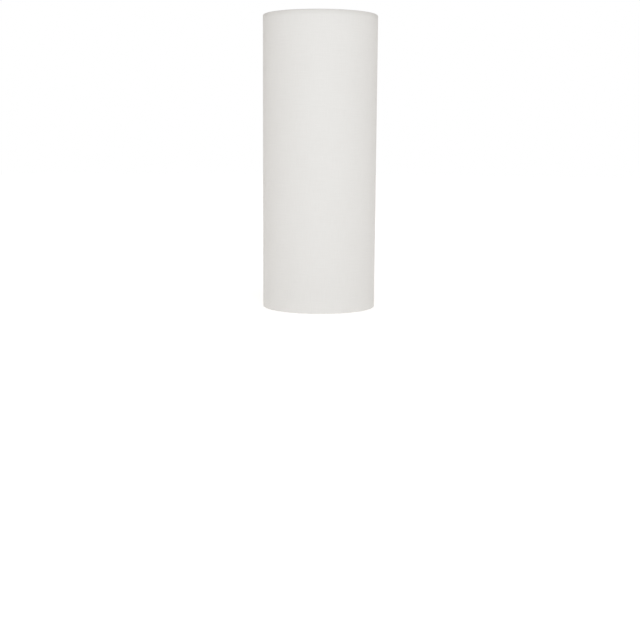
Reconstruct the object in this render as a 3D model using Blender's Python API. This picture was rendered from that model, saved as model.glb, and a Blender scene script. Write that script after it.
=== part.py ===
"""Tall cylindrical lamp shade: a hard-backed drum of white linen with a washer spider.

Run it with: blender --background --python part.py

The cloth is one sheet, wrapped once round and lapped at the back, with its two edges
rolled over the wire rings. Inside it stands a split styrene liner. A three-armed spider
hangs a drilled washer in the middle of the top ring, and the washer sits on the lamp.
Units are metres, +Z is up, and the origin is the middle of the bottom rim.
"""

import math

import bmesh
import bpy
from mathutils import Vector

# The whole shade
DIAMETER = 0.300  # over the cloth
HEIGHT = 0.765  # over both rolled edges
GAP = 0.0003  # between pieces that are glued or welded together

# Cloth and liner
CLOTH = 0.0005  # thickness of the linen
LINER = 0.0005  # thickness of the styrene sheet
LAP = 0.012  # width of the cloth's overlap at the back
LAP_RAMP = 0.007  # length over which the cloth climbs onto its other end
LINER_SLIT = 0.0006  # between the liner's two butted edges
SEAM_TAPE = 0.0002  # thickness of the double-sided tape in the lap
SEAM_TAPE_WIDTH = 0.009

# Wire rings and the tape wound on them
WIRE = 0.0035  # wire diameter
RING_TAPE = 0.00025
RING_TAPE_COVER = math.radians(300)  # how far round the wire the tape goes
BUTT = 0.0006  # between the two ends of a tape that goes all the way round

# Rolled edges
HEM_STEP = math.radians(36)  # one facet of the roll
HEM_FACETS = 7  # facets from the wall to the tucked end
CUT_STEP = math.radians(2)  # spacing of the facets that a snip squeezes together
NOTCH_FACETS = 3  # facets left where the cloth is snipped for an arm
LAP_FACETS = 1  # facets left where the outer end of the lap is trimmed at the rim
NOTCH_HALF = 0.0024  # half of a snip's width
NOTCH_RAMP = 0.0026  # how fast the roll closes again beside a snip

# Spider
ARMS = 3
ARM_ONE = math.radians(30)  # azimuth of the first arm
SPIDER_DROP = 0.022  # from the ring's centre line down to the arms
BEND = 0.007  # bend radius of an arm's centre line
ARM_RISE = 0.001  # how far an arm's end stands above the ring's centre line
WASHER_DIAMETER = 0.032
WASHER_HOLE = 0.011
WASHER_THICKNESS = 0.002
WASHER_CHAMFER = 0.0003
WASHER_LAND = 0.005  # ring of washer kept free round the hole, for the finial

SEAM = math.radians(90)  # azimuth of the lap, at the back
SEGMENTS = 72  # facets round the shade
WIRE_SIDES = 10
WASHER_SIDES = 48

# Worked out from the sizes above
RADIUS = DIAMETER / 2
HEM_INSIDE = WIRE / 2 + GAP + RING_TAPE + GAP  # radius of the roll's inner face
HEM_OUTSIDE = HEM_INSIDE + CLOTH
RING_RADIUS = RADIUS - HEM_OUTSIDE  # of a wire's centre line
RING_LOW = HEM_OUTSIDE * math.cos(HEM_STEP / 2)  # the roll's flat facet stands at zero
RING_HIGH = HEIGHT - RING_LOW
LIFT = CLOTH + GAP + SEAM_TAPE + GAP  # how far the lap's outer layer stands out
LEG_RADIUS = RING_RADIUS - WIRE - GAP  # of an arm's upright end
ARM_HEIGHT = RING_HIGH - SPIDER_DROP
RING_TAPE_SHORT = NOTCH_HALF + NOTCH_RAMP + GAP  # from an arm's middle to the tape's end
WASHER_TOP = ARM_HEIGHT - WIRE / 2 - GAP

METAL = ((0.62, 0.60, 0.56, 1), 0.35, 1.0)
LINEN = ((0.81, 0.80, 0.77, 1), 0.9, 0.0)
STYRENE = ((0.86, 0.86, 0.84, 1), 0.5, 0.0)
ADHESIVE = ((0.75, 0.73, 0.66, 1), 0.6, 0.0)


def clear_scene():
    for obj in list(bpy.data.objects):
        bpy.data.objects.remove(obj, do_unlink=True)


def material(name, look):
    colour, roughness, metallic = look
    made = bpy.data.materials.new(name)
    made.use_nodes = True
    shader = made.node_tree.nodes["Principled BSDF"]
    shader.inputs["Base Color"].default_value = colour
    shader.inputs["Roughness"].default_value = roughness
    shader.inputs["Metallic"].default_value = metallic
    made.diffuse_color = colour
    return made


def arm_azimuths():
    return [ARM_ONE + i * math.tau / ARMS for i in range(ARMS)]


def turned(r, z, azimuth):
    """The point at radius r and height z, turned to that azimuth. Between the corners of
    the facets it lies on the facet, so that all the walls and rings stay parallel."""
    half_step = math.pi / SEGMENTS
    off_middle = azimuth % (2 * half_step) - half_step
    on_facet = r * math.cos(half_step) / math.cos(off_middle)
    return Vector((on_facet * math.cos(azimuth), on_facet * math.sin(azimuth), z))


def object_of(name, bm, look):
    """A finished piece from a closed bmesh, with its normals facing out."""
    bmesh.ops.recalc_face_normals(bm, faces=bm.faces)
    mesh = bpy.data.meshes.new(name)
    bm.to_mesh(mesh)
    bm.free()
    mesh.shade_smooth()
    mesh.set_sharp_from_angle(angle=math.radians(40))
    obj = bpy.data.objects.new(name, mesh)
    bpy.context.collection.objects.link(obj)
    mesh.materials.append(material(name, look))
    return obj


def strip(name, stations, look):
    """A long sheet solid. Each station is (outer points, inner points), as many of each,
    so that the sheet's ends close with a row of quads."""
    bm = bmesh.new()
    rows = [[[bm.verts.new(p) for p in side] for side in station] for station in stations]
    for (outer_a, inner_a), (outer_b, inner_b) in zip(rows, rows[1:]):
        loop_a = outer_a + inner_a[::-1]
        loop_b = outer_b + inner_b[::-1]
        for i in range(len(loop_a)):
            bm.faces.new((loop_a[i - 1], loop_a[i], loop_b[i], loop_b[i - 1]))
    for outer, inner in (rows[0], rows[-1]):
        for i in range(1, len(outer)):
            bm.faces.new((outer[i - 1], outer[i], inner[i], inner[i - 1]))
    return object_of(name, bm, look)


def azimuths_between(start, end, extra=()):
    """Azimuths of the shade's facets from start to end, with both ends and the extras."""
    step = math.tau / SEGMENTS
    first, last = math.ceil(start / step), math.floor(end / step)
    wanted = [i * step for i in range(first, last + 1)]
    kept = sorted([start, end, *extra])
    for azimuth in wanted:
        if all(abs(azimuth - k) > step / 20 for k in kept):
            kept.append(azimuth)
    return sorted(kept)


# Cloth


def between(low, high, share):
    return low + (high - low) * min(1.0, max(0.0, share))


def off_arm(azimuth):
    """Distance round the ring from that azimuth to the middle of the nearest arm."""
    turns = [abs((azimuth - arm + math.pi) % math.tau - math.pi) for arm in arm_azimuths()]
    return min(turns) * RING_RADIUS


def top_wrap(azimuth):
    """How far round the top ring the cloth's edge is rolled, away from the lap."""
    open_share = (off_arm(azimuth) - NOTCH_HALF) / NOTCH_RAMP
    return HEM_STEP * between(NOTCH_FACETS, HEM_FACETS, open_share)


def roll(radius, lift, height, wrap, side):
    """Points (r, z) round a wire ring, from the wall to the tucked end. Side is 1 for the
    top ring and -1 for the bottom one. The roll is pressed flat where it is highest."""
    flat = math.cos(HEM_STEP / 2)
    turns = [
        min(HEM_STEP * i, wrap - CUT_STEP * (HEM_FACETS - i)) for i in range(HEM_FACETS + 1)
    ]
    return [
        (
            RING_RADIUS + (radius + lift) * math.cos(t),
            height + side * radius * min(math.sin(t), flat),
        )
        for t in turns
    ]


def cloth_station(azimuth, lap_share):
    """The cloth's outer and inner faces at one azimuth. It stands out by LIFT and its
    edges are trimmed where it lies on its other end."""
    lift = LIFT * lap_share
    low_wrap = HEM_STEP * between(HEM_FACETS, LAP_FACETS, lap_share)
    high_wrap = min(low_wrap, top_wrap(azimuth))
    faces = []
    for radius in (HEM_OUTSIDE, HEM_INSIDE):
        bottom = roll(radius, lift, RING_LOW, low_wrap, -1)
        top = roll(radius, lift, RING_HIGH, high_wrap, 1)
        faces.append([turned(r, z, azimuth) for r, z in bottom[::-1] + top])
    return faces


def make_cloth():
    half_lap = LAP / 2 / RADIUS
    start = SEAM - half_lap
    end = SEAM + math.tau + half_lap
    climbed = start + math.tau - GAP / RADIUS  # just short of the inner end
    leaving = climbed - LAP_RAMP / RADIUS
    ramp_steps = HEM_FACETS - NOTCH_FACETS  # one facet of the roll at a time
    snips = [
        arm + side * (NOTCH_HALF + NOTCH_RAMP * i / ramp_steps) / RING_RADIUS + turn
        for arm in arm_azimuths()
        for side in (-1, 1)
        for i in range(ramp_steps + 1)
        for turn in (0, math.tau)
    ]
    lap_steps = HEM_FACETS - LAP_FACETS
    extra = [between(leaving, climbed, i / lap_steps) for i in range(lap_steps + 1)]
    extra += [s for s in snips if start < s < end]
    stations = []
    for azimuth in azimuths_between(start, end, extra):
        lap_share = between(0, 1, (azimuth - leaving) / (climbed - leaving))
        stations.append(cloth_station(azimuth, lap_share))
    return strip("linen_cover", stations, LINEN)


# Liner and tapes


def wall_station(outer, inner, low, high, azimuth):
    """A flat sheet's two faces at one azimuth, between two radii and two heights."""
    return [[turned(r, low, azimuth), turned(r, high, azimuth)] for r in (outer, inner)]


def make_liner():
    outer = RADIUS - CLOTH - GAP
    low = RING_LOW + HEM_OUTSIDE + GAP
    high = RING_HIGH - HEM_OUTSIDE - GAP
    half_slit = LINER_SLIT / 2 / outer
    turns = azimuths_between(SEAM + half_slit, SEAM + math.tau - half_slit)
    stations = [wall_station(outer, outer - LINER, low, high, t) for t in turns]
    return strip("styrene_liner", stations, STYRENE)


def make_seam_tape():
    inner = RADIUS + GAP
    half_width = SEAM_TAPE_WIDTH / 2 / inner
    turns = azimuths_between(SEAM - half_width, SEAM + half_width)
    stations = [
        wall_station(inner + SEAM_TAPE, inner, RING_LOW, RING_HIGH, t) for t in turns
    ]
    return strip("seam_tape", stations, ADHESIVE)


def make_ring_tape(name, height, side, start, end):
    """Tape wound on a wire ring from one azimuth to another, open on the inside where the
    cloth is tucked."""
    inner = WIRE / 2 + GAP
    first = math.pi * 1.4 - math.tau  # the slot faces inwards, away from the rim
    turns = [first + RING_TAPE_COVER * i / HEM_FACETS for i in range(HEM_FACETS + 1)]

    def station(azimuth):
        return [
            [
                turned(
                    RING_RADIUS + radius * math.cos(t),
                    height + side * radius * math.sin(t),
                    azimuth,
                )
                for t in turns
            ]
            for radius in (inner + RING_TAPE, inner)
        ]

    stations = [station(azimuth) for azimuth in azimuths_between(start, end)]
    return strip(name, stations, ADHESIVE)


def make_ring_tapes():
    short = RING_TAPE_SHORT / RING_RADIUS
    arms = arm_azimuths()
    for i, (start, end) in enumerate(zip(arms, arms[1:] + [arms[0] + math.tau]), 1):
        make_ring_tape(f"top_ring_tape_{i}", RING_HIGH, 1, start + short, end - short)
    half_butt = BUTT / 2 / RING_RADIUS
    make_ring_tape(
        "bottom_ring_tape", RING_LOW, -1, SEAM + half_butt, SEAM + math.tau - half_butt
    )


# Metal frame


def make_ring(name, height):
    bpy.ops.mesh.primitive_torus_add(
        major_segments=SEGMENTS,
        minor_segments=WIRE_SIDES,
        major_radius=RING_RADIUS,
        minor_radius=WIRE / 2,
        location=(0, 0, height),
    )
    ring = bpy.context.object
    ring.name = ring.data.name = name
    ring.data.shade_smooth()
    ring.data.materials.append(material(name, METAL))
    return ring


def arm_path():
    """The arm's centre line in its own plane: down beside the ring, round the bend and
    in over the washer's edge."""
    bend_points = 6
    corner = Vector((LEG_RADIUS - BEND, 0, ARM_HEIGHT + BEND))
    points = [Vector((LEG_RADIUS, 0, RING_HIGH + ARM_RISE))]
    for i in range(bend_points + 1):
        turn = -math.pi / 2 * i / bend_points
        points.append(corner + BEND * Vector((math.cos(turn), 0, math.sin(turn))))
    points.append(Vector((WASHER_HOLE / 2 + WASHER_LAND, 0, ARM_HEIGHT)))
    return points


def make_arm(index, azimuth):
    name = f"spider_arm_{index}"
    curve = bpy.data.curves.new(name, "CURVE")
    curve.dimensions = "3D"
    curve.bevel_depth = WIRE / 2
    curve.bevel_resolution = 3
    curve.use_fill_caps = True
    points = arm_path()
    spline = curve.splines.new("POLY")
    spline.points.add(len(points) - 1)
    for place, point in zip(spline.points, points):
        place.co = (*point, 1)
    curve.materials.append(material(name, METAL))
    arm = bpy.data.objects.new(name, curve)
    bpy.context.collection.objects.link(arm)
    arm.rotation_euler = (0, 0, azimuth)
    return arm


def make_washer():
    """A drilled disc, turned from its chamfered section."""
    low, high = WASHER_TOP - WASHER_THICKNESS, WASHER_TOP
    hole, rim, cut = WASHER_HOLE / 2, WASHER_DIAMETER / 2, WASHER_CHAMFER
    section = [
        (hole, low + cut),
        (hole + cut, low),
        (rim - cut, low),
        (rim, low + cut),
        (rim, high - cut),
        (rim - cut, high),
        (hole + cut, high),
        (hole, high - cut),
    ]
    bm = bmesh.new()
    points = [bm.verts.new((r, 0, z)) for r, z in section]
    edges = [bm.edges.new((points[i - 1], points[i])) for i in range(len(points))]
    bmesh.ops.spin(
        bm,
        geom=points + edges,
        axis=(0, 0, 1),
        cent=(0, 0, 0),
        angle=math.tau,
        steps=WASHER_SIDES,
        use_merge=True,
    )
    return object_of("spider_washer", bm, METAL)


def main():
    clear_scene()
    make_cloth()
    make_liner()
    make_seam_tape()
    make_ring_tapes()
    make_ring("top_ring", RING_HIGH)
    make_ring("bottom_ring", RING_LOW)
    for index, azimuth in enumerate(arm_azimuths(), 1):
        make_arm(index, azimuth)
    make_washer()


main()
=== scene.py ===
"""Finish of the tall linen lamp shade.

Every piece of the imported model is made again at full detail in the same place: the linen
is cut flat, hemmed, snipped and rolled up as a shade maker does it, and the liner, tapes,
rings and spider get their own finish. Units are metres and +Z is up.
"""

import math

import bmesh
import bpy
from mathutils import Matrix, Vector


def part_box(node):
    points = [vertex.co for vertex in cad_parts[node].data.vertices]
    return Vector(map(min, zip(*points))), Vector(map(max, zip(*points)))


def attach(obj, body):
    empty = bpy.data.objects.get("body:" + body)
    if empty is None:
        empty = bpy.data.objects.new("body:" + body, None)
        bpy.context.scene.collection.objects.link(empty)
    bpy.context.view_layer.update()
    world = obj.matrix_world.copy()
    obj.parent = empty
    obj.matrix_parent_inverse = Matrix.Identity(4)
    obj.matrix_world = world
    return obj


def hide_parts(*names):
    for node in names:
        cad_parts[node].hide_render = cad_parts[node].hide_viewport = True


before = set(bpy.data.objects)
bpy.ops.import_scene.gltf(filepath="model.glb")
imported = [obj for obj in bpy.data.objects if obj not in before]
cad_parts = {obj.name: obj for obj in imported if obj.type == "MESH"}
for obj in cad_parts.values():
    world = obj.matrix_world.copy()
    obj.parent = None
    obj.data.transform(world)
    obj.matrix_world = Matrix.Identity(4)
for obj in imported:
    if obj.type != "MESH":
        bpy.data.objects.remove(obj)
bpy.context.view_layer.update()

TINY = 1e-5

# Sheet goods
CLOTH = 0.0005
LINER = 0.0005
TAPE = 0.00025
LAP_TAPE = 0.00015
GLUE = 0.00005  # between layers that are stuck together
GAP = 0.0003  # between pieces that only touch
LAP = 0.012
LAP_RAMP = 0.006
LAP_RAMP_STEPS = 6
LAP_TAPE_WIDTH = 0.009
LINER_SLIT = 0.0006

# Rolled hems. Each angle is how far round its wire the cloth has gone.
HEM_WRAP = math.radians(252)
HEM_STEPS = 14
SNIP_FROM = math.radians(100)
SNIP_HALF = 0.0031  # half of the gap that is snipped in the hem for an arm
TRIM_FROM = math.radians(40)  # where the lap's outer layer is trimmed
TRIM_RAMP_FROM = math.radians(85)  # and where it climbs

# Ring tapes
TAPE_SIDES = 30
TAPE_SLOT = (math.radians(194), math.radians(250))  # round the wire, left open
TAPE_SHORT = 0.0053  # from an arm's middle to the end of a ring's tape
TAPE_BUTT = 0.0006

# Wire and washer
WIRE = 0.0035
WIRE_SIDES = 20
BEND = 0.007
BEND_STEPS = 10
CUT_END = 0.0003  # rounding of a wire's sawn end
WELD_FLASH = 0.0002
WASHER_HOLE = 0.011
WASHER_SIDES = 96
WASHER_EDGE = 0.0003

# Weld beads: half sizes along the arm, across it and up
RING_BEAD = (0.0017, 0.0027, 0.0021)
WASHER_BEAD = (0.0030, 0.0013, 0.0009)
WASHER_BEAD_ASIDE = WIRE * 0.42  # from the middle of the wire
WASHER_BEAD_OUT = 0.0005  # from the middle of the arm's overlap on the washer
BEAD_UNEVEN = 0.35  # of its least half size

# How finely the round pieces are made
COLUMNS = 300
CLOTH_ROWS = 20
LINER_ROWS = 8
LAP_TAPE_STEPS = 6

# Thread of the plain weave, from one to the next
THREAD = 0.0008

# The baking map in a unit square: the cloth's outer side, its hidden side above that from
# HIDDEN_AT up, and cells for its cut edges from CELLS_AT up
OUTER_SIZE = (0.84, 0.70)
HIDDEN_SIZE = (0.84, 0.18)
HIDDEN_AT = 0.72
CELLS_AT = 0.93
CELLS = 128  # in a row
CELL_CORNERS = ((0.2, 0.2), (0.8, 0.2), (0.8, 0.8), (0.2, 0.8))

# Studio
FLOOR_RADIUS = 12
FLOOR_GREY = 0.82
GLOW_REACH = 0.8
# The glow is dimmer round the shade: a painted soft shadow at its foot, which also sends
# less light up onto the shade's lower part
GLOW_NEAR = (0.50, 0.495, 0.49, 1)  # of the floor round the shade
GLOW_AWAY = (0.59, 0.585, 0.58, 1)
ROOM_SIDE = (0.37, 0.357, 0.348, 1)
ROOM_OVERHEAD = (0.63, 0.614, 0.602, 1)
OVERHEAD_FROM = 0.9  # the height on a unit dome that counts as overhead

# Lights: azimuth, height, distance, size, power and colour
KEY = (math.radians(-85), 1.3, 3.2, 1.4, 23.2, (0.88, 0.94, 1))
BACK_FILL = (math.radians(95), 1.6, 3.2, 1.8, 6, (1, 0.98, 0.95))

# Camera
CAMERA_DISTANCE = 2.970
CAMERA_HEIGHT = 0.440
CAMERA_DOWN = math.radians(9.159)
CAMERA_RIGHT = math.radians(0.079)
CAMERA_ROLL = math.radians(0.390)
LENS = 62.19
SENSOR = 36

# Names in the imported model
ROOT = "root"
ARMS = ("spider_arm_1", "spider_arm_2", "spider_arm_3")
TOP_TAPES = ("top_ring_tape_1", "top_ring_tape_2", "top_ring_tape_3")


def middle(node):
    low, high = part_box(node)
    return (Vector(low) + Vector(high)) / 2


def azimuth(place):
    return math.atan2(place.y, place.x)


def turned(radius, z, turn):
    """The place at that distance from the shade's axis, height and azimuth."""
    return Vector((radius * math.cos(turn), radius * math.sin(turn), z))


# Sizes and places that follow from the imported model
cover_low, cover_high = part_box("linen_cover")
RADIUS = (cover_high[0] - cover_low[0]) / 2
HEIGHT = cover_high[2]
RING_LOW = middle("bottom_ring").z
RING_HIGH = middle("top_ring").z
HEM_RISE = RING_LOW  # of the roll above the middle of its wire
HEM_OUTSIDE = WIRE / 2 + GAP + TAPE + GAP + CLOTH
RING_RADIUS = RADIUS - HEM_OUTSIDE
LEG_RADIUS = RING_RADIUS - WIRE - GAP
washer_low, washer_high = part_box("spider_washer")
WASHER_LOW = washer_low[2]
WASHER_TOP = washer_high[2]
WASHER_RADIUS = washer_high[0]
ARM_HEIGHT = WASHER_TOP + GAP + WIRE / 2
ARM_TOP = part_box(ARMS[0])[1][2]
ARM_END = -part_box(ARMS[2])[1][1]  # the third arm runs straight to the front
RING_CONTACT = LEG_RADIUS + (RING_RADIUS - LEG_RADIUS) / 2
WELD_RADIUS = (ARM_END + WASHER_RADIUS) / 2 + WASHER_BEAD_OUT
SEAM = math.radians(90)
LIFT = CLOTH + GLUE + LAP_TAPE + GLUE
CUT_WIDTH = math.tau * RADIUS + LAP
HEM = HEM_WRAP * HEM_OUTSIDE
CUT_HEIGHT = RING_HIGH - RING_LOW + 2 * HEM
OUTER_END = CUT_WIDTH / 2  # of the cloth, where it laps over its other end


# Modelling helpers


def clear_selection():
    if bpy.context.mode != "OBJECT":
        bpy.ops.object.mode_set(mode="OBJECT")
    bpy.ops.object.select_all(action="DESELECT")


def pick(piece):
    """Leaves edit mode and makes the piece the only one selected."""
    clear_selection()
    piece.select_set(True)
    bpy.context.view_layer.objects.active = piece


def name_it(piece, name):
    piece.name = piece.data.name = name


def into_mesh():
    """Moves the selected piece's place, turn and scale into its mesh."""
    bpy.ops.object.transform_apply(location=True, rotation=True, scale=True)


def started(name):
    """The primitive that was just added, named and with its place in its mesh."""
    piece = bpy.context.object
    name_it(piece, name)
    into_mesh()
    return piece


def edit(piece):
    """Goes into edit mode, choosing vertices."""
    pick(piece)
    bpy.ops.object.mode_set(mode="EDIT")
    bpy.ops.mesh.select_mode(type="VERT")


def select_all():
    bpy.ops.mesh.select_all(action="SELECT")


def extrude(move):
    bpy.ops.mesh.extrude_region_move(TRANSFORM_OT_translate={"value": move})


def choose(piece, kind, wanted):
    """In edit mode, selects the VERT, EDGE or FACE elements whose middle passes the test."""
    bpy.ops.mesh.select_mode(type=kind)
    bpy.ops.mesh.select_all(action="DESELECT")
    bm = bmesh.from_edit_mesh(piece.data)
    if kind == "VERT":
        for vert in bm.verts:
            vert.select_set(wanted(vert.co))
    elif kind == "EDGE":
        for edge in bm.edges:
            edge.select_set(wanted((edge.verts[0].co + edge.verts[1].co) / 2))
    else:
        for face in bm.faces:
            face.select_set(wanted(face.calc_center_median()))
    bm.select_flush_mode()
    bmesh.update_edit_mesh(piece.data)


def modify(piece, kind, **settings):
    """Adds a modifier and applies it."""
    pick(piece)
    modifier = piece.modifiers.new(kind, kind)
    for key, value in settings.items():
        setattr(modifier, key, value)
    bpy.ops.object.modifier_apply(modifier=modifier.name)


def thicken(piece, thickness):
    """Gives a sheet its thickness, on the side away from its normals."""
    modify(piece, "SOLIDIFY", thickness=thickness, offset=-1, use_even_offset=True)


def placed(piece, turn=0.0, move=(0, 0, 0)):
    """Turns a finished piece about the shade's axis and moves it, in its mesh."""
    pick(piece)
    piece.rotation_euler = (0, 0, turn)
    piece.location = move
    into_mesh()


def finished(piece, node, material, angle=40):
    """Stands a finished piece in for its node, with its material and with faces that are
    smooth up to that angle in degrees."""
    pick(piece)
    bpy.ops.object.shade_smooth_by_angle(angle=math.radians(angle))
    piece.data.materials.clear()
    piece.data.materials.append(material)
    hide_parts(node)
    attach(piece, ROOT)


# Materials


class Value:
    """A number in a node tree. Arithmetic on it adds the Math nodes that work it out."""

    def __init__(self, nodes, socket):
        self.nodes = nodes
        self.socket = socket

    def maths(self, operation, *numbers):
        inputs = dict(enumerate(numbers))
        return self.nodes.node("Math", {"operation": operation}, inputs)

    def __add__(self, other):
        return self.maths("ADD", self, other)

    def __sub__(self, other):
        return self.maths("SUBTRACT", self, other)

    def __rsub__(self, other):
        return self.maths("SUBTRACT", other, self)

    def __mul__(self, other):
        return self.maths("MULTIPLY", self, other)

    def __abs__(self):
        return self.maths("ABSOLUTE", self)

    __radd__ = __add__
    __rmul__ = __mul__

    def sine(self):
        return self.maths("SINE", self)

    def root(self):
        return self.maths("SQRT", self)

    def or_more(self, other):
        return self.maths("MAXIMUM", self, other)

    def step(self, low, high, rise="SMOOTHSTEP"):
        """0 up to low and 1 from high, with that kind of rise between them."""
        inputs = {"Value": self, "From Min": low, "From Max": high}
        return self.nodes.node("MapRange", {"interpolation_type": rise}, inputs)


class Nodes:
    """A node tree whose nodes are added one call at a time."""

    def __init__(self, tree):
        self.tree = tree

    def feed(self, socket, value):
        if isinstance(value, Value):
            self.tree.links.new(value.socket, socket)
        else:
            socket.default_value = value

    def node(self, kind, settings, inputs, output=0):
        """Adds a node with its settings, then the values or links of its sockets."""
        made = self.tree.nodes.new("ShaderNode" + kind)
        for key, value in settings.items():
            setattr(made, key, value)
        for key, value in inputs.items():
            self.feed(made.inputs[key], value)
        return Value(self, made.outputs[output])

    def parts(self, vector):
        """The three numbers of a vector."""
        return [self.node("SeparateXYZ", {}, {0: vector}, i) for i in range(3)]

    def blend(self, share, colour, other):
        """From the first colour at share 0 to the other at 1."""
        inputs = {0: share, 6: colour, 7: other}
        return self.node("Mix", {"data_type": "RGBA"}, inputs, 2)


class Look(Nodes):
    """A material. What is fixed is given by the names of its shader's sockets."""

    def __init__(self, name, **fixed):
        self.material = bpy.data.materials.new(name)
        self.material.use_nodes = True
        super().__init__(self.material.node_tree)
        self.shader = self.tree.nodes["Principled BSDF"]
        for key, value in fixed.items():
            self.shader.inputs[key.replace("_", " ")].default_value = value

    def place(self):
        """The point's place on the shade, as x, y and z."""
        return self.parts(self.node("TexCoord", {}, {}, "Object"))

    def noise(self, x, y, z=0.0, detail=2.0):
        """Noise of about one patch per unit of x, y and z, from 0 to 1."""
        at = self.node("CombineXYZ", {}, {0: x, 1: y, 2: z})
        return self.node("TexNoise", {}, {"Vector": at, "Scale": 1.0, "Detail": detail})

    def bump(self, height, depth, strength=1.0):
        """Makes the surface look as high as that, in metres at full height."""
        inputs = {"Height": height, "Distance": depth, "Strength": strength}
        self.feed(self.shader.inputs["Normal"], self.node("Bump", {}, inputs))

    def surface(self, colour, roughness):
        self.feed(self.shader.inputs["Base Color"], colour)
        self.feed(self.shader.inputs["Roughness"], roughness)


def rgb(red, green, blue):
    return (red, green, blue, 1)


def linen_look():
    """White plain-weave linen with slubs. In a band at each hem, where no liner backs it, it
    is painted darker as shade from the wire and tapes behind, which also show through; the
    top of the roll over the top ring gets a painted highlight where light from above catches
    it."""
    look = Look("linen", Specular_IOR_Level=0.35)
    across, up, _ = look.parts(look.node("UVMap", {"uv_map": "cut_cloth"}, {}))

    # Threads wander by a share of their spacing, and swell and thin along their length
    wander = look.noise(across * 90, up * 90) - 0.5
    warp_swell = look.noise(across * 700, up * 26)
    weft_swell = look.noise(across * 20, up * 620, 5.0)
    warp = ((across + wander * (THREAD * 0.5)) * (math.pi / THREAD)).sine()
    weft = ((up + wander * (THREAD * 0.7)) * (math.pi / THREAD)).sine()
    crossing = warp * weft
    over = abs(warp) * (0.75 + warp_swell * 0.5) + crossing
    under = abs(weft) * (0.75 + weft_swell * 0.5) - crossing
    thread_height = over.or_more(under) * 0.5

    slub = warp_swell.step(0.66, 0.80) * 0.6 + weft_swell.step(0.64, 0.78)
    mottle = look.noise(across * 14, up * 9, 2.0, 3.0) - 0.5

    # Painted bands along the hems: shade where the wires and tapes behind keep light from
    # coming through the cloth, and a highlight on the top of the roll over the top ring
    painted_top_rim_shade = up.step(CUT_HEIGHT - HEM - 0.012, CUT_HEIGHT - HEM + 0.001)
    painted_low_rim_shade = 1 - up.step(HEM - 0.004, HEM + 0.004)
    painted_top_roll_highlight = up.step(CUT_HEIGHT - HEM, CUT_HEIGHT - HEM + 0.003)

    brightness = (
        0.80
        # Raised threads lighter and the gaps between them darker: painted shade between the
        # threads
        + thread_height * 0.14
        + (warp_swell + weft_swell - 1.0) * 0.22
        - slub * 0.10
        + mottle * 0.10
        - painted_top_rim_shade * 0.30
        - painted_low_rim_shade * 0.08
        + painted_top_roll_highlight * 0.35
    )
    # The darker colour serves the linen's slubs and mottle as well as the painted shade
    shade, white = rgb(0.66, 0.635, 0.60), rgb(0.86, 0.85, 0.825)
    look.surface(look.blend(brightness, shade, white), 0.50 + thread_height * 0.12)
    look.bump(thread_height + slub * 0.25, 0.00016, 0.7)
    return look.material


def styrene_look():
    """White styrene sheet: a low sheen, faint rolling lines and a fine grain."""
    look = Look("styrene", Specular_IOR_Level=0.45)
    x, y, z = look.place()
    rolling = look.noise(x * 260, y * 260, z * 3)
    grain = look.noise(x * 1500, y * 1500, z * 1500)
    yellowed = look.noise(x * 7, y * 7, z * 4, 3.0)
    clean, aged = rgb(0.87, 0.87, 0.86), rgb(0.85, 0.84, 0.80)
    look.surface(look.blend(yellowed.step(0.3, 0.8), clean, aged), 0.42 + rolling * 0.12)
    look.bump(rolling * 0.4 + grain * 0.6, 0.00005, 0.5)
    return look.material


def tape_look():
    """Off-white gummed tape with fine ribs across it and a few creases."""
    look = Look("gummed_tape", Specular_IOR_Level=0.3)
    x, y, z = look.place()
    ribs = look.noise(x * 900, y * 900, z * 120)
    crease = look.noise(x * 160, y * 160, z * 200, 3.0).step(0.55, 0.7)
    colour = look.blend(ribs, rgb(0.70, 0.67, 0.60), rgb(0.80, 0.78, 0.72))
    look.surface(colour, 0.55 + ribs * 0.25)
    look.bump(ribs * 0.5 + crease * 0.5, 0.0001, 0.6)
    return look.material


def wire_look():
    """Nickel-plated drawn wire, with a straw-brown heat tint round each weld."""
    look = Look("plated_wire", Metallic=1.0)
    x, y, z = look.place()
    drawn = look.noise(x * 420, y * 420, z * 420, 3.0)
    cloudy = look.noise(x * 60, y * 60, z * 60, 2.0)
    from_axis = (x * x + y * y).root()
    ring_weld = z.step(RING_HIGH - 0.007, RING_HIGH - 0.001)
    washer_weld = 1 - abs(from_axis - WELD_RADIUS).step(0.001, 0.0045)
    heat = ring_weld.or_more(washer_weld) * (0.45 + drawn * 0.4)
    plain = look.blend(cloudy, rgb(0.60, 0.58, 0.54), rgb(0.70, 0.68, 0.64))
    look.surface(look.blend(heat * 0.6, plain, rgb(0.42, 0.33, 0.22)), 0.24 + drawn * 0.22)
    look.bump(drawn, 0.00006, 0.4)
    return look.material


# Linen cover


def flat_x(turn):
    """Where the azimuth lies across the flat cloth, whose middle is the shade's front."""
    return RADIUS * ((turn + math.pi / 2 + math.pi) % math.tau - math.pi)


def snip_centres():
    """Where each arm goes through the hem, across the flat cloth."""
    return [flat_x(azimuth(middle(arm))) for arm in ARMS]


def round_the_wire(y, z):
    """How far round its wire a point of the cloth's hem is rolled, before the cloth is
    bent round. It is below zero on the wall between the wires."""
    beyond = max(z - RING_HIGH, RING_LOW - z)
    if y < HEM_OUTSIDE and beyond < 0:
        return -1.0
    return math.atan2(beyond / HEM_RISE, 1 - y / HEM_OUTSIDE) % math.tau


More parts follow.
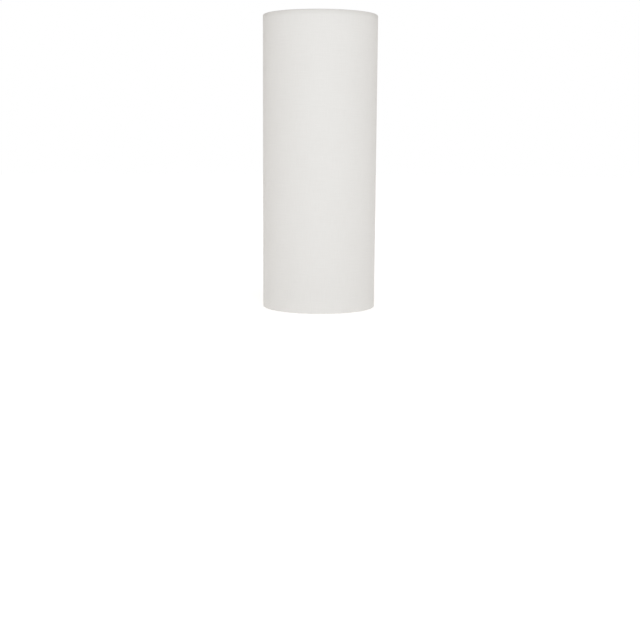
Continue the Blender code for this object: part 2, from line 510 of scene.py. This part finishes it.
def cut_cloth():
    """The flat cloth between the wires, facing the front, with more columns where it is
    snipped or lapped."""
    clear_selection()
    bpy.ops.mesh.primitive_grid_add(
        x_subdivisions=COLUMNS,
        y_subdivisions=CLOTH_ROWS,
        size=1,
        location=(0, 0, (RING_LOW + RING_HIGH) / 2),
        rotation=(math.pi / 2, 0, 0),
    )
    bpy.context.object.scale = (CUT_WIDTH, RING_HIGH - RING_LOW, 1)
    cloth = started("cover")
    edit(cloth)
    steps = range(LAP_RAMP_STEPS + 1)
    columns = [OUTER_END - LAP - LAP_RAMP * i / LAP_RAMP_STEPS for i in steps]
    for centre in snip_centres():
        columns += [centre - SNIP_HALF, centre + SNIP_HALF]
    for x in columns:
        select_all()
        bpy.ops.mesh.bisect(plane_co=(x, 0, 0), plane_no=(1, 0, 0))
    return cloth


def roll_hem(cloth, edge, side):
    """Rolls one long edge of the flat cloth round its wire, a step at a time."""
    choose(cloth, "EDGE", lambda at: abs(at.z - edge) < TINY)
    for i in range(HEM_STEPS):
        here, there = HEM_WRAP * i / HEM_STEPS, HEM_WRAP * (i + 1) / HEM_STEPS
        move = (
            0,
            HEM_OUTSIDE * (math.cos(here) - math.cos(there)),
            side * HEM_RISE * (math.sin(there) - math.sin(here)),
        )
        extrude(move)


def snip_hem(cloth):
    """Cuts the top hem open at each arm, and trims both hems of the lap's outer layer."""
    centres = snip_centres()

    def cut_away(at):
        turn = round_the_wire(at.y, at.z)
        at_arm = at.z > HEIGHT / 2 and any(abs(at.x - c) < SNIP_HALF for c in centres)
        return (
            (at_arm and turn > SNIP_FROM)
            or (at.x > OUTER_END - LAP - LAP_RAMP and turn > TRIM_RAMP_FROM)
            or (at.x > OUTER_END - LAP and turn > TRIM_FROM)
        )

    choose(cloth, "FACE", cut_away)
    bpy.ops.mesh.delete(type="FACE")


def lift_lap(cloth):
    """Raises the outer end of the cloth by a layer, one column of the ramp at a time."""
    start = OUTER_END - LAP - LAP_RAMP
    for i in range(1, LAP_RAMP_STEPS + 1):
        column = start + LAP_RAMP * i / LAP_RAMP_STEPS
        choose(cloth, "VERT", lambda at: at.x > column - TINY)
        bpy.ops.transform.translate(value=(0, -LIFT / LAP_RAMP_STEPS, 0))


def lay_out_weave(cloth):
    """A UV map in metres over the cut cloth: across it, and up it from hem to hem."""
    mesh = cloth.data
    mesh.uv_layers[0].name = "cut_cloth"
    for loop in mesh.loops:
        at = mesh.vertices[loop.vertex_index].co
        rolled = max(0.0, round_the_wire(at.y, at.z)) * HEM_OUTSIDE
        if at.z > HEIGHT / 2:
            up = CUT_HEIGHT - HEM + (rolled or at.z - RING_HIGH)
        else:
            up = HEM - (rolled or RING_LOW - at.z)
        mesh.uv_layers["cut_cloth"].data[loop.index].uv = (at.x + CUT_WIDTH / 2, up)


def lay_out_sides(cloth, side_faces):
    """A UV map for baking, in which nothing overlaps. The faces of the outer side come
    first in the mesh, then as many of the hidden side, and then the cut edges."""
    mesh = cloth.data
    mesh.uv_layers.new(name="OFBake")
    weave, sides = (mesh.uv_layers[name].data for name in ("cut_cloth", "OFBake"))
    for face in mesh.polygons:
        for corner, loop in zip(CELL_CORNERS, face.loop_indices):
            across, up = weave[loop].uv.x / CUT_WIDTH, weave[loop].uv.y / CUT_HEIGHT
            if face.index < side_faces:
                place = (across * OUTER_SIZE[0], up * OUTER_SIZE[1])
            elif face.index < 2 * side_faces:
                place = (across * HIDDEN_SIZE[0], HIDDEN_AT + up * HIDDEN_SIZE[1])
            else:
                row, column = divmod(face.index - 2 * side_faces, CELLS)
                place = ((column + corner[0]) / CELLS, CELLS_AT + (row + corner[1]) / CELLS)
            sides[loop].uv = place


def make_cover():
    """The cloth is cut, hemmed and lapped flat and then bent round."""
    cloth = cut_cloth()
    roll_hem(cloth, RING_HIGH, 1)
    roll_hem(cloth, RING_LOW, -1)
    snip_hem(cloth)
    clear_selection()
    lay_out_weave(cloth)
    edit(cloth)
    lift_lap(cloth)
    side_faces = len(cloth.data.polygons)
    thicken(cloth, CLOTH)
    lay_out_sides(cloth, side_faces)
    modify(
        cloth,
        "SIMPLE_DEFORM",
        deform_method="BEND",
        deform_axis="Z",
        angle=CUT_WIDTH / RADIUS,
    )
    placed(cloth, move=(0, -RADIUS, 0))
    finished(cloth, "linen_cover", linen_look(), 50)
    return cloth


# Liner and tapes


def upright_line(name, radius, low, high, turn, rows):
    """An upright row of edges at that radius and azimuth, ready to spin."""
    clear_selection()
    bpy.ops.mesh.primitive_plane_add(size=1, location=turned(radius, low, turn))
    line = started(name)
    edit(line)
    bpy.ops.mesh.merge(type="CENTER")
    step = (0, 0, (high - low) / rows)
    for _ in range(rows):
        extrude(step)
    select_all()
    return line


def spin_about_axis(angle, steps):
    """Spins the selection anticlockwise as seen from above. The tool itself turns the
    other way."""
    bpy.ops.mesh.spin(
        steps=steps, angle=-angle, center=(0, 0, 0), axis=(0, 0, 1), use_auto_merge=False
    )


def flip(piece, wrong):
    """In edit mode, turns over the faces that pass the test."""
    bpy.ops.mesh.select_mode(type="FACE")
    bpy.ops.mesh.select_all(action="DESELECT")
    bm = bmesh.from_edit_mesh(piece.data)
    bm.normal_update()
    for face in bm.faces:
        face.select_set(wrong(face))
    bmesh.update_edit_mesh(piece.data)
    bpy.ops.mesh.flip_normals()


def face_out(piece):
    """Points an open sheet's normals away from the shade's axis."""
    flip(piece, lambda face: face.normal.xy.dot(face.calc_center_median().xy) < 0)


def face_from_wire(piece, height):
    """Points an open sheet's normals away from the middle of the wire it is wound on."""

    def inward(face):
        at = face.calc_center_median()
        on_wire = Vector((at.x, at.y, 0)).normalized() * RING_RADIUS
        on_wire.z = height
        return face.normal.dot(at - on_wire) < 0

    flip(piece, inward)


def make_liner(material):
    low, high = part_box("styrene_liner")
    outer = high[0]
    slit = LINER_SLIT / outer
    start = SEAM + slit / 2
    sheet = upright_line("liner", outer, low[2], high[2], start, LINER_ROWS)
    spin_about_axis(math.tau - slit, COLUMNS)
    face_out(sheet)
    thicken(sheet, LINER)
    finished(sheet, "styrene_liner", material)


def make_lap_tape(material):
    inner = RADIUS + GLUE
    width = LAP_TAPE_WIDTH / inner
    start = SEAM - width / 2
    sheet = upright_line("lap_tape", inner + LAP_TAPE, RING_LOW, RING_HIGH, start, 1)
    spin_about_axis(width, LAP_TAPE_STEPS)
    face_out(sheet)
    thicken(sheet, LAP_TAPE)
    finished(sheet, "seam_tape", material)


def make_ring_tape(name, node, material, height, side, start, width):
    """Tape wound on a ring from the azimuth start on, over an angle of width. It is open
    where the cloth is tucked in. Side is 1 for the top ring and -1 for the bottom one."""
    clear_selection()
    bpy.ops.mesh.primitive_circle_add(
        vertices=TAPE_SIDES,
        radius=WIRE / 2 + GAP + TAPE,
        location=(RING_RADIUS, 0, height),
        rotation=(math.pi / 2, 0, 0),
    )
    tape = started(name)
    edit(tape)

    def in_slot(at):
        round_wire = math.atan2(side * (at.z - height), at.x - RING_RADIUS) % math.tau
        return TAPE_SLOT[0] < round_wire < TAPE_SLOT[1]

    choose(tape, "VERT", in_slot)
    bpy.ops.mesh.delete(type="VERT")
    select_all()
    spin_about_axis(width, round(COLUMNS * width / math.tau))
    face_from_wire(tape, height)
    thicken(tape, TAPE)
    placed(tape, turn=start)
    finished(tape, node, material)


def make_ring_tapes(material):
    """Three lengths of tape between the arms on the top ring and one on the bottom ring."""
    turns = sorted(azimuth(middle(arm)) % math.tau for arm in ARMS)
    short = TAPE_SHORT / RING_RADIUS
    width = math.tau / len(ARMS) - 2 * short
    for i, (node, turn) in enumerate(zip(TOP_TAPES, turns), 1):
        name = f"hem_tape_top_{i}"
        make_ring_tape(name, node, material, RING_HIGH, 1, turn + short, width)
    butt = TAPE_BUTT / RING_RADIUS
    start, width = SEAM + butt / 2, math.tau - butt
    make_ring_tape("hem_tape_low", "bottom_ring_tape", material, RING_LOW, -1, start, width)


# Wire frame


def make_ring(name, node, height, material):
    """A ring of round wire with the flash of its butt weld at the back."""
    clear_selection()
    bpy.ops.mesh.primitive_torus_add(
        major_segments=COLUMNS,
        minor_segments=WIRE_SIDES,
        major_radius=RING_RADIUS,
        minor_radius=WIRE / 2,
        location=(0, 0, height),
    )
    ring = started(name)
    edit(ring)
    column = math.tau * RING_RADIUS / COLUMNS
    choose(ring, "VERT", lambda at: at.y > 0 and abs(at.x) < column / 2)
    bpy.ops.transform.shrink_fatten(value=WELD_FLASH)
    finished(ring, node, material)


def bent_wire():
    """One arm of the spider, straight out along +X: down beside the ring and in over the
    washer."""
    clear_selection()
    bpy.ops.mesh.primitive_circle_add(
        vertices=WIRE_SIDES,
        radius=WIRE / 2,
        fill_type="NGON",
        location=(LEG_RADIUS, 0, ARM_TOP),
    )
    wire = started("arm")
    edit(wire)
    select_all()
    drop = (0, 0, ARM_HEIGHT + BEND - ARM_TOP)
    extrude(drop)
    bpy.ops.mesh.spin(
        steps=BEND_STEPS,
        angle=-math.pi / 2,
        center=(LEG_RADIUS - BEND, 0, ARM_HEIGHT + BEND),
        axis=(0, 1, 0),
        use_auto_merge=False,
    )
    run = (ARM_END - (LEG_RADIUS - BEND), 0, 0)
    extrude(run)
    select_all()
    bpy.ops.mesh.normals_make_consistent(inside=False)
    choose(wire, "EDGE", lambda at: at.z > ARM_TOP - TINY or at.x < ARM_END + TINY)
    bpy.ops.mesh.bevel(offset=CUT_END, segments=2)
    return wire


def weld_bead(at, size, seed):
    """A small lump of weld metal, settled and a little uneven."""
    clear_selection()
    bpy.ops.mesh.primitive_ico_sphere_add(subdivisions=4, radius=1, location=at)
    bpy.context.object.scale = size
    bead = started("bead")
    edit(bead)
    select_all()
    bpy.ops.transform.vertex_random(offset=min(size) * BEAD_UNEVEN, seed=seed)
    bpy.ops.mesh.vertices_smooth(factor=0.6, repeat=5)
    clear_selection()
    return bead


def fuse(piece, beads):
    """Joins weld beads to a piece and merges the points that end up together."""
    for bead in beads:
        modify(piece, "BOOLEAN", operation="UNION", object=bead)
        bpy.data.objects.remove(bead, do_unlink=True)
    edit(piece)
    select_all()
    bpy.ops.mesh.remove_doubles(threshold=TINY)


def make_arms(material):
    """Each arm has a weld bead at the ring and one on each side at the washer."""
    for i, node in enumerate(ARMS, 1):
        wire = bent_wire()
        beads = [weld_bead((RING_CONTACT, 0, RING_HIGH), RING_BEAD, 3 * i)]
        for side in (-1, 1):
            at = (WELD_RADIUS, side * WASHER_BEAD_ASIDE, WASHER_TOP + GAP)
            beads.append(weld_bead(at, WASHER_BEAD, 3 * i + side))
        fuse(wire, beads)
        placed(wire, turn=azimuth(middle(node)))
        name_it(wire, f"arm_{i}")
        finished(wire, node, material)


def make_washer(material):
    """A disc inset and bored through, with rolled edges."""
    hole = WASHER_HOLE / 2
    clear_selection()
    bpy.ops.mesh.primitive_cylinder_add(
        vertices=WASHER_SIDES,
        radius=WASHER_RADIUS,
        depth=WASHER_TOP - WASHER_LOW,
        location=(0, 0, (WASHER_TOP + WASHER_LOW) / 2),
    )
    washer = started("washer")
    edit(washer)
    choose(washer, "FACE", lambda at: at.xy.length < hole)
    bpy.ops.mesh.inset(thickness=WASHER_RADIUS - hole)
    bpy.ops.mesh.delete(type="FACE")
    choose(washer, "EDGE", lambda at: at.xy.length < hole + TINY)
    bpy.ops.mesh.bridge_edge_loops()
    select_all()
    bpy.ops.mesh.normals_make_consistent(inside=False)

    def at_corner(at):
        # The middle of an edge lies a little inside its circle
        at_face = min(at.z - WASHER_LOW, WASHER_TOP - at.z) < TINY
        from_axis = at.xy.length
        return at_face and (from_axis < hole + TINY or from_axis > WASHER_RADIUS - 10 * TINY)

    choose(washer, "EDGE", at_corner)
    bpy.ops.mesh.bevel(offset=WASHER_EDGE, segments=3)
    finished(washer, "spider_washer", material)


# Floor, light and camera


def make_floor():
    """A matt pale floor that glows, a little less near the shade as a painted soft shadow
    round its foot.
    """
    clear_selection()
    bpy.ops.mesh.primitive_circle_add(vertices=64, radius=FLOOR_RADIUS, fill_type="NGON")
    floor = started("floor")
    look = Look("floor", Specular_IOR_Level=0.0, Emission_Strength=1.0)
    x, y, _ = look.place()
    away = (x * x + y * y).root().step(RADIUS, GLOW_REACH)
    look.feed(look.shader.inputs["Emission Color"], look.blend(away, GLOW_NEAR, GLOW_AWAY))
    look.surface(rgb(FLOOR_GREY, FLOOR_GREY, FLOOR_GREY), 0.9)
    floor.data.materials.append(look.material)


def make_world():
    """A white room that is dimmer round the sides than overhead. Its walls are seen as
    plain white."""
    world = bpy.data.worlds.new("studio")
    world.use_nodes = True
    bpy.context.scene.world = world
    nodes = Nodes(world.node_tree)
    _, _, up = nodes.parts(nodes.node("TexCoord", {}, {}, "Generated"))
    room = nodes.blend(up.step(0, OVERHEAD_FROM, "LINEAR"), ROOM_SIDE, ROOM_OVERHEAD)
    seen = nodes.node("LightPath", {}, {}, "Is Camera Ray")
    background = world.node_tree.nodes["Background"]
    nodes.feed(background.inputs["Color"], nodes.blend(seen, room, rgb(1, 1, 1)))


def make_light(name, turn, height, distance, size, power, colour):
    """A soft square light that faces the middle of the shade."""
    clear_selection()
    bpy.ops.object.light_add(type="AREA", location=turned(distance, height, turn))
    light = bpy.context.object
    name_it(light, name)
    light.data.shape = "SQUARE"
    light.data.size = size
    light.data.energy = power
    light.data.color = colour
    aim = Vector((0, 0, HEIGHT / 2)) - light.location
    light.rotation_euler = aim.to_track_quat("-Z", "Y").to_euler()


def make_camera():
    camera = bpy.data.objects.new("camera", bpy.data.cameras.new("camera"))
    bpy.context.collection.objects.link(camera)
    camera.data.lens = LENS
    camera.data.sensor_width = SENSOR
    camera.matrix_world = (
        Matrix.Translation((0, -CAMERA_DISTANCE, CAMERA_HEIGHT))
        @ Matrix.Rotation(-CAMERA_RIGHT, 4, "Z")
        @ Matrix.Rotation(math.pi / 2 - CAMERA_DOWN, 4, "X")
        @ Matrix.Rotation(CAMERA_ROLL, 4, "Z")
    )
    bpy.context.scene.camera = camera
    bpy.context.scene.view_settings.view_transform = "Standard"


def main():
    make_camera()
    cover = make_cover()
    make_liner(styrene_look())
    gummed, plated = tape_look(), wire_look()
    make_lap_tape(gummed)
    make_ring_tapes(gummed)
    make_ring("ring_top", "top_ring", RING_HIGH, plated)
    make_ring("ring_low", "bottom_ring", RING_LOW, plated)
    make_arms(plated)
    make_washer(plated)
    make_floor()
    make_world()
    make_light("key", *KEY)
    make_light("back_fill", *BACK_FILL)
    clear_selection()


main()
